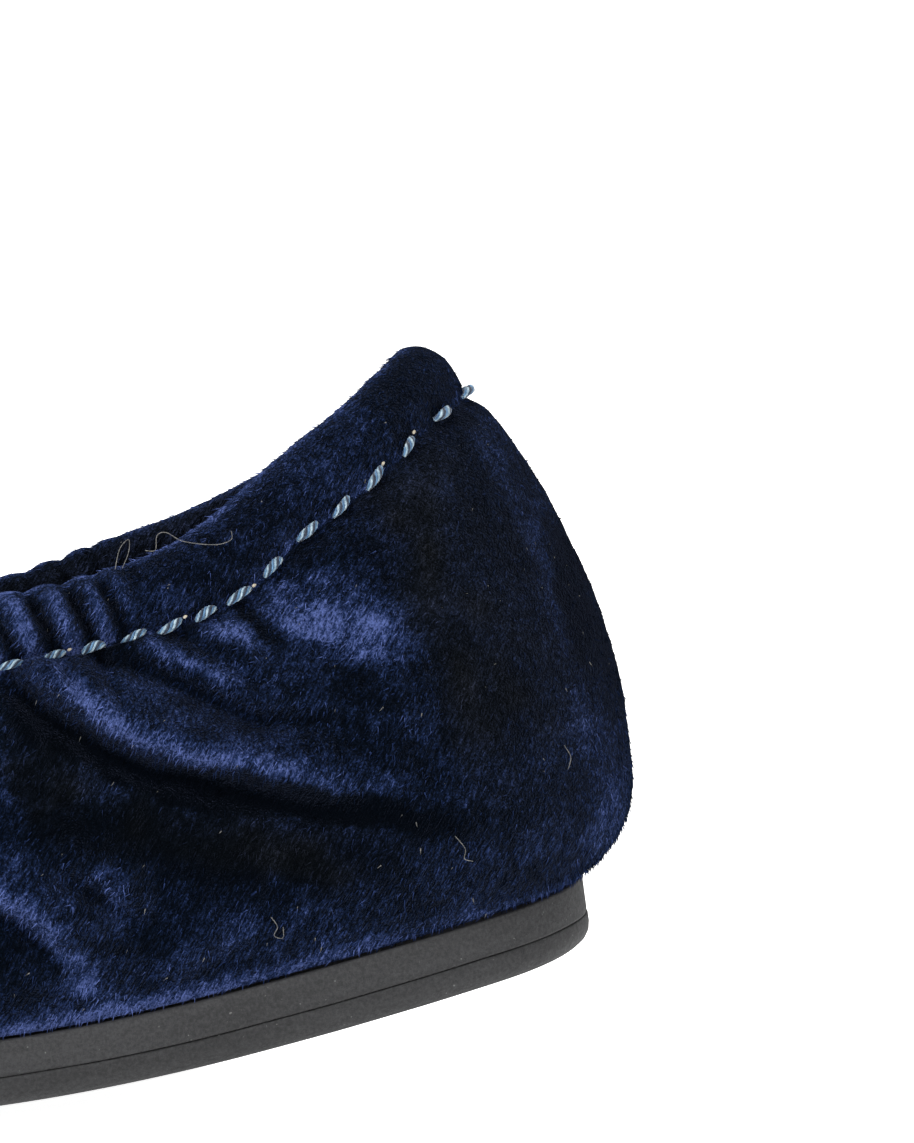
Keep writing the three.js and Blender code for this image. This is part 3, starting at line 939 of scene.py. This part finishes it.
COUNTER_SPAN = ring_share(46)
TAPE_SPAN = 0.012
counter = inner_layer("heel_counter_felt", (-COUNTER_SPAN, COUNTER_SPAN), layer=(1.5, 0.9), edges=(22, 0.8),
                      counts=(120, 20), finish=FELT, hidden=["heel_counter"])
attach(counter, "heel")
tape = inner_layer("back_seam_tape_strip", (-TAPE_SPAN, TAPE_SPAN), layer=(3.7, 0.5),
                   edges=(HEM_WIDTH + 0.3, 4), counts=(9, 40), finish=TAPE,
                   hidden=["back_seam_tape"])
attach(tape, "heel")


# ---- the sole ----

SOLE_HALVES = {"rear": (0, SEAM_T), "front": (SEAM_T, 0.5)}
ACROSS = 12  # points across the top and the underside of a layer


def close_up(piece):
    """Merges the points that meet, and turns all faces outwards."""
    mesh = bmesh.new()
    mesh.from_mesh(piece.data)
    bmesh.ops.remove_doubles(mesh, verts=mesh.verts, dist=1e-6)
    bmesh.ops.dissolve_degenerate(mesh, edges=mesh.edges, dist=1e-7)
    bmesh.ops.recalc_face_normals(mesh, faces=mesh.faces)
    mesh.to_mesh(piece.data)
    mesh.free()
    piece.data.set_sharp_from_angle(angle=SHARP)


SOLE_STEPS = 200


def sole_piece(name, half, side, finish, hidden, waver, seed):
    """A layer of the sole. side lists the corners of its edge as (height, how far inside the outline), from its
    underside, out, up and back in to its top."""
    t = np.linspace(*SOLE_HALVES[half], SOLE_STEPS)
    side = np.asarray(side, float)
    edges = []
    for turn in (t, 1 - t):
        columns = []
        for up, inset in side:
            at, y, out = rim(turn, np.full(len(t), inset))
            point = on_sole(at, y, up)
            shift = waver * rumple(point * np.array([1, 1, 1.6]), 7, seed)[:, None]
            moved = point + np.concatenate([out, np.zeros((len(t), 1))], axis=1) * shift
            columns.append(np.concatenate([moved, at[:, None] * MM, np.full((len(t), 1), up * MM)], axis=1))
        edges.append(np.stack(columns, axis=1))
    inner, outer = edges
    share = np.linspace(0, 1, ACROSS + 2)[1:-1, None]
    over = inner[:, -1:] * (1 - share) + outer[:, -1:] * share
    under = outer[:, :1] * (1 - share) + inner[:, :1] * share
    section = np.concatenate([inner, over, outer[:, ::-1], under], axis=1)
    section, run, rise = section[..., :3], section[..., 3], section[..., 4]
    rows, corners = run.shape
    i = np.arange(rows - 1)[:, None] * corners
    j = np.arange(corners)[None]
    following = (j + 1) % corners
    faces = np.stack([i + j, i + following, i + corners + following, i + corners + j], axis=-1)
    faces = faces.reshape(-1, 4).tolist()
    faces.append(list(range(corners)))
    faces.append(list(range((rows - 1) * corners, rows * corners))[::-1])
    piece = make_piece(name, section.reshape(-1, 3), faces, finish, {"run": run, "rise": rise})
    close_up(piece)
    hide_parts(*hidden)
    return piece


def rounded_side(low, high, inset, low_radius, high_radius, steps=5):
    """An upright edge with both corners rounded, from below upwards."""
    turns = np.linspace(0, math.pi / 2, steps)
    corner = [(1 - math.cos(a), 1 - math.sin(a)) for a in turns]
    lower = [(low + low_radius * up, inset + low_radius * across) for up, across in corner]
    upper = [(high - high_radius * up, inset + high_radius * across) for up, across in reversed(corner)]
    return lower + upper


TREAD_DEPTH = 0.6
TREAD_RIM = 3.8
SIDE_TAPER = 0.12  # how far the sole's side runs in for each millimetre down


def tapered(side):
    return [(up, inset + SIDE_TAPER * (MIDSOLE_TOP - up)) for up, inset in side]


outsole_side = [(TREAD_DEPTH, TREAD_RIM + 0.5), (0, TREAD_RIM)]
outsole_side += tapered(rounded_side(0, OUTSOLE_TOP, 0.1, 1.9, 0.26))
midsole_side = tapered(rounded_side(OUTSOLE_TOP + 0.03, MIDSOLE_TOP, 0, 0.24, 0.3))
foam_side = rounded_side(MIDSOLE_TOP + 0.1, 11.5, 5.4, 1, 1)
sock_side = rounded_side(11.55, 12.7, 4.9, 0.5, 0.5)

# Each layer's name, edge, finish and slot, how far its edge wavers, and the seed of that.
SOLE_LAYERS = [
    ("outsole", outsole_side, OUTSOLE, "outsole", 0.14, 31),
    ("midsole", midsole_side, MIDSOLE, "midsole", 0.16, 32),
    ("footbed_foam", foam_side, FOAM, "footbed_foam", 0, 31),
    ("sock_liner", sock_side, SOCK, "sock", 0, 31),
]

for half in SOLE_HALVES:
    for layer, side, finish, slot, waver, seed in SOLE_LAYERS:
        piece = sole_piece(f"{layer}_{half}", half, side, finish, nodes_of(layer, half), waver, seed)
        bend(piece, half)
        layer == "footbed_foam"


# ---- what repeats: fibres, hairs, stitches and tread, made with geometry nodes ----


class Nodes:
    """A geometry node tree under construction, whose result is a plain mesh."""

    def __init__(self, name):
        self.tree = bpy.data.node_groups.new(name, "GeometryNodeTree")
        self.tree.interface.new_socket("Geometry", in_out="INPUT", socket_type="NodeSocketGeometry")
        self.tree.interface.new_socket("Geometry", in_out="OUTPUT", socket_type="NodeSocketGeometry")
        self.entry = self.tree.nodes.new("NodeGroupInput")
        self.base = Value(self.tree, self.entry.outputs[0])
        self.sizes = {}

    def size(self, name, value):
        """A named input for a size."""
        socket = self.tree.interface.new_socket(name, in_out="INPUT", socket_type="NodeSocketFloat")
        self.sizes[socket.identifier] = value
        return Value(self.tree, self.entry.outputs[name])

    def add(self, kind, settings=None, inputs=None, output=0):
        node = self.tree.nodes.new(kind)
        for key, value in (settings or {}).items():
            setattr(node, key, value)
        for key, value in (inputs or {}).items():
            for given in value if isinstance(value, list) else [value]:
                feed(self.tree, node.inputs[key], given)
        return Value(self.tree, node.outputs[output])

    def random(self, low, high, seed):
        """A random number for each instance, or a random vector where low and high are vectors."""
        if isinstance(low, tuple):
            kind, places, output = "FLOAT_VECTOR", (0, 1), 0
        else:
            kind, places, output = "FLOAT", (2, 3), 1
        inputs = {places[0]: low, places[1]: high, "Seed": seed}
        return self.add("FunctionNodeRandomValue", {"data_type": kind}, inputs, output)

    def on_points(self, points, instance, turn, more):
        return self.add("GeometryNodeInstanceOnPoints", inputs={
            "Points": points, "Instance": instance, "Rotation": turn, **more})

    def circle(self, corners, radius):
        return self.add("GeometryNodeCurvePrimitiveCircle", inputs={"Resolution": corners, "Radius": radius})

    def tube(self, curve, section, finish):
        tube = self.add("GeometryNodeCurveToMesh", inputs={
            "Curve": curve, "Profile Curve": section, "Fill Caps": True})
        return self.painted(tube, finish)

    def painted(self, shape, finish):
        return self.add("GeometryNodeSetMaterial", inputs={"Geometry": shape, "Material": finish})

    def grow(self, result, base, name, slot):
        """Runs the tree on the base object and returns what it makes as a new piece."""
        whole = self.add("GeometryNodeRealizeInstances", inputs={0: result})
        feed(self.tree, self.tree.nodes.new("NodeGroupOutput").inputs[0], whole)
        modifier = base.modifiers.new("grow", "NODES")
        modifier.node_group = self.tree
        for identifier, value in self.sizes.items():
            modifier[identifier] = value
        graph = bpy.context.evaluated_depsgraph_get()
        mesh = bpy.data.meshes.new_from_object(base.evaluated_get(graph))
        mesh.name = name
        bpy.data.objects.remove(base)
        piece = add_object(name, mesh)
        return piece


def seeds(name, points, edges=(), faces=(), vectors=None, numbers=None):
    """A loose mesh of points in the frame, with vectors and numbers kept on them."""
    mesh = bpy.data.meshes.new(name)
    mesh.from_pydata(place(points).tolist(), list(edges), list(faces))
    keep_on(mesh, numbers)
    for key, values in (vectors or {}).items():
        layer = mesh.attributes.new(key, "FLOAT_VECTOR", "POINT")
        layer.data.foreach_set("vector", np.asarray(values, np.float32).ravel())
    return add_object(name, mesh)


def tubes(name, half, lines, size_name, radius, corners, finish, slot):
    """Tubes along lines of points, as one piece."""
    points, edges = [], []
    for line in lines:
        edges += [(len(points) + k, len(points) + k + 1) for k in range(len(line) - 1)]
        points += line.tolist()
    base = seeds(name, points, edges)
    n = Nodes(name)
    section = n.circle(corners, n.size(size_name, radius * MM))
    curves = n.add("GeometryNodeMeshToCurve", inputs={0: n.base})
    bend(n.grow(n.tube(curves, section, finish), base, name, slot), half)


PILE_SEED = 11
FIBRE_LEAN = ((-1.2, -0.5, -1.7), (0.1, 0.5, -0.3))  # least and most: the pile lies forwards and down


def fibres(name, half, count, sizes, flatness, finish, seed):
    """Single fibres on the velvet. sizes is a fibre's length and radius, flatness how little it stands up."""
    cloth, marks = CLOTH_FACES[half]
    base = seeds("cloth_face", cloth.reshape(-1, 3), faces=quads(*cloth.shape[:2]).tolist(), numbers=marks)
    n = Nodes("velvet_fibres")
    length = n.size("Fibre Length", sizes[0] * MM)
    radius = n.size("Fibre Radius", sizes[1] * MM)
    density = n.size("Fibres On Each Square Metre", count / sum(face.area for face in base.data.polygons))
    spots = n.add("GeometryNodeDistributePointsOnFaces", inputs={
        "Mesh": n.base, "Density": density, "Seed": seed})
    upright = Value(n.tree, spots.socket.node.outputs["Normal"])
    fibre = n.add("GeometryNodeMeshCone", {"fill_type": "NGON"},
                  {"Vertices": 3, "Radius Bottom": radius, "Depth": length})
    lean = n.random(*FIBRE_LEAN, seed + 1)
    stand = n.add("ShaderNodeVectorMath", {"operation": "SCALE"},
                  {0: upright, "Scale": 1 - flatness})
    way = n.add("ShaderNodeVectorMath", {"operation": "ADD"}, {0: stand, 1: lean})
    turn = n.add("FunctionNodeAlignRotationToVector", {"axis": "Z"}, {"Vector": way})
    glint = n.random(0.0, 1.0, seed + 2)
    grown = n.on_points(spots, fibre, turn, {"Scale": n.random(0.5, 1.15, seed + 3)})
    grown = n.add("GeometryNodeStoreNamedAttribute", {"data_type": "FLOAT", "domain": "INSTANCE"},
                  {"Geometry": grown, "Name": "glint", "Value": glint})
    bend(n.grow(n.painted(grown, finish), base, name + half, "velvet"), half)


for half in HALVES:
    fibres("pile_", half, count=36000, sizes=(0.8, 0.06), flatness=0.5, finish=PILE, seed=PILE_SEED)
    fibres("lint_", half, count=170, sizes=(0.6, 0.07), flatness=0.6, finish=LINT, seed=PILE_SEED + 10)


# Loose hairs caught in the pile of the outer side: the line of each as (ahead of the heel end, height).
LOOSE_HAIRS = [
    [(49.4, 55.2), (49, 57.4), (47.9, 58.4), (48, 56.8), (48.7, 55.3)],
    [(46.4, 57), (45.2, 56.8), (45.4, 58.6), (44.3, 58.9), (43, 57.9), (41.5, 57.6), (39.2, 57.4),
     (37.6, 57.9), (37.8, 58.8)],
    [(34, 20.8), (33.2, 19.8), (33.9, 18.9), (32.7, 18.5), (32.8, 19.8)],
    [(15.6, 28.6), (14.4, 27.2), (14.8, 26.2), (13.8, 26)],
    [(4.4, 37), (3.6, 35.8), (4, 34.6)],
]


HAIR_RADIUS = 0.036
HAIR_GAP = 0.45  # how far a hair stands off the cloth


def on_cloth(line, cloth):
    """A smooth line of points just outside the cloth, along a line in side view."""
    line = np.asarray(line)
    share = np.linspace(0, len(line) - 1, 7 * len(line))
    ahead, level = (np.interp(share, range(len(line)), line[:, k]) for k in (0, 1))
    gaps = np.hypot(cloth[:, 0, None] + ahead, cloth[:, 2, None] - level)
    return smoothed(smoothed(np.stack([-ahead, cloth[gaps.argmin(axis=0), 1] - HAIR_GAP, level], axis=-1)))


outer_cloth = CLOTH_FACES["rear_outer"][0][:, :WALL_STEPS + HEM_STEPS // 3].reshape(-1, 3)
tubes("loose_hairs", "rear_outer", [on_cloth(line, outer_cloth) for line in LOOSE_HAIRS], "Hair Radius",
      HAIR_RADIUS, 4, LINT, "thread")


STITCH_SEED = 7
STITCH_DEPTH = 0.1
KNOTTED = 0.45  # share of the stitches with a knot of loose thread behind them
KNOT_RADIUS = 0.2
KNOT_BEHIND = 0.68  # how far behind the stitch's middle a knot sits, in stitch lengths
STRANDS = (THREAD_BLUE, THREAD_WHITE, THREAD_NAVY) * 2


def stitch_row(half, span):
    ends = topline_run(np.array(span))
    count = int((ends[1] - ends[0]) / STITCH_PITCH)
    fine = np.linspace(*span, 4000)
    runs = ends[0] + (np.arange(count) + 0.5) * (ends[1] - ends[0]) / count
    t = np.interp(runs, topline_run(fine), fine)
    step = 0.0004
    here = Walls(np.stack([t - step, t, t + step], axis=1).ravel())
    down = HEM_WIDTH * here.slant
    line = here.at(down, STITCH_DEPTH)[:, 0]
    outward = (here.at(down, -1)[:, 0] - line)[1::3]
    along = unit(line[2::3] - line[0::3])
    base = seeds("stitch_places", line[1::3], vectors={"along": along, "outward": unit(outward)})

    n = Nodes("twisted_stitches")
    length = n.size("Stitch Length", 2.7 * MM)
    strand = n.size("Strand Radius", 0.15 * MM)
    twist = n.size("Twist Radius", 0.36 * MM)
    arch = n.size("Arch", 0.7 * MM)
    round_section = n.circle(4, strand)
    strands = []
    for index, finish in enumerate(STRANDS):
        helix = n.add("GeometryNodeCurveSpiral", inputs={
            "Resolution": 11, "Rotations": 1.15, "Start Radius": twist, "End Radius": twist,
            "Height": length})
        lying = helix
        for turn in (0, 0, index * math.tau / len(STRANDS)), (0, math.pi / 2, 0):
            lying = n.add("GeometryNodeTransform", inputs={"Geometry": lying, "Rotation": turn})
        spot = n.add("GeometryNodeInputPosition")
        x, y, z = (n.add("ShaderNodeSeparateXYZ", inputs={0: spot}, output=axis) for axis in range(3))
        middle = x / length - 0.5
        bow = middle * middle * 4  # 0 at the stitch's middle and 1 at its ends
        narrowing = bow * -0.75
        sink = (0.4 - bow**1.5) * arch
        offset = n.add("ShaderNodeCombineXYZ", inputs={
            0: length * -0.5, 1: y * narrowing, 2: z * narrowing + sink})
        bowed = n.add("GeometryNodeSetPosition", inputs={"Geometry": lying, "Offset": offset})
        strands.append(n.tube(bowed, round_section, finish))
    stitch = n.add("GeometryNodeJoinGeometry", inputs={0: strands})
    axes = {key: n.add("GeometryNodeInputNamedAttribute", {"data_type": "FLOAT_VECTOR"}, {"Name": key})
            for key in ("along", "outward")}
    turn = n.add("FunctionNodeAxesToRotation", {"primary_axis": "Z", "secondary_axis": "X"},
                 {"Primary Axis": axes["outward"], "Secondary Axis": axes["along"]})
    wobble = n.random((-0.35, -0.08, -0.05), (0.35, 0.08, 0.3), STITCH_SEED)
    turned = n.add("FunctionNodeRotateRotation", {"rotation_space": "LOCAL"}, {0: turn, 1: wobble})
    stretch = n.random((0.88, 0.92, 0.92), (1.1, 1.08, 1.08), STITCH_SEED + 1)
    row = n.on_points(n.base, stitch, turned, {"Scale": stretch})
    knot = n.add("GeometryNodeMeshUVSphere", inputs={"Segments": 8, "Rings": 5, "Radius": KNOT_RADIUS * MM})
    knot_place = n.add("ShaderNodeCombineXYZ", inputs={0: length * KNOT_BEHIND, 2: -KNOT_RADIUS * MM})
    knot = n.add("GeometryNodeTransform", inputs={
        "Geometry": knot, "Translation": knot_place, "Scale": (1.3, 0.8, 0.8)})
    knotted = n.add("FunctionNodeRandomValue", {"data_type": "BOOLEAN"},
                    {"Probability": KNOTTED, "Seed": STITCH_SEED + 2}, output=3)
    knots = n.on_points(n.base, n.painted(knot, THREAD_CREAM), turned, {"Selection": knotted})
    row = n.add("GeometryNodeJoinGeometry", inputs={0: [row, knots]})
    piece = n.grow(row, base, "topstitch_" + half, "thread")
    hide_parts(*nodes_of("thread", half))
    bend(piece, half)


for half, span in {"rear": REAR, "front": FRONT}.items():
    stitch_row(half, span)


TREAD_PITCH = 3.4
TREAD_WAVE = 7  # how long a rib's wave is, and how far it swings to each side
RIB_SWING = 0.75
RIB_STEP = 0.9


def tread(half, first, last):
    """Wavy ribs across the underside, inside its rim."""
    t = np.linspace(0, 0.5, 800)
    inner_at, inner_y, _ = rim(t, np.full(len(t), TREAD_RIM + 0.6))
    outer_at, outer_y, _ = rim(1 - t, np.full(len(t), TREAD_RIM + 0.6))
    ribs = []
    for at in np.arange(first, last, TREAD_PITCH):
        left = np.interp(at, outer_at, outer_y)
        right = np.interp(at, inner_at, inner_y)
        y = np.linspace(left, right, max(int((right - left) / RIB_STEP), 2))
        ribs.append(on_sole(at + RIB_SWING * np.sin(math.tau * y / TREAD_WAVE), y, TREAD_DEPTH))
    tubes("tread_" + half, half, ribs, "Rib Radius", TREAD_DEPTH * 0.95, 6, OUTSOLE, "outsole")


tread("rear", 6, SEAM_AT)
tread("front", SEAM_AT + TREAD_PITCH / 2, SOLE_LENGTH - 8)


# ---- floor and light ----


FLOOR_REACH = 6
FLOOR_GLOW = 0.95
LIT_SPOT = (0, 0, 0.04)

floor_mesh = bpy.data.meshes.new("floor")
floor_corners = [(x * FLOOR_REACH, y * FLOOR_REACH, 0) for x, y in ((-1, -1), (1, -1), (1, 1), (-1, 1))]
floor_mesh.from_pydata(floor_corners, [], [(0, 1, 2, 3)])
floor_glow = {"Emission Color": rgb(1, 1, 1), "Emission Strength": FLOOR_GLOW}
floor_mesh.materials.append(Finish("floor").done(rgb(0.93, 0.93, 0.93), 0.9, specular=0, others=floor_glow))
add_object("floor", floor_mesh)


def area_light(name, spot, aim, size, power):
    light = bpy.data.lights.new(name, "AREA")
    light.shape = "DISK"
    light.size = size
    light.energy = power
    lamp = add_object(name, light)
    lamp.location = spot
    turn_towards(lamp, Vector(aim) - Vector(spot))


area_light("key", (-0.7, -0.9, 1.2), LIT_SPOT, size=0.6, power=24)
area_light("fill", (1.0, -1.1, 0.7), (0.05, 0, 0.04), size=0.9, power=6)
area_light("top", (0.0, 0.5, 1.5), LIT_SPOT, size=0.9, power=12)

LIT = 0.4  # how brightly the white room lights the slipper, against 1 for how it looks
world = bpy.data.worlds.new("studio")
scene.world = world
world.use_nodes = True
room = world.node_tree
background = room.nodes["Background"]
background.inputs["Color"].default_value = rgb(1, 1, 1)
seen = Value(room, room.nodes.new("ShaderNodeLightPath").outputs["Is Camera Ray"])
feed(room, background.inputs["Strength"], seen * (1 - LIT) + LIT)
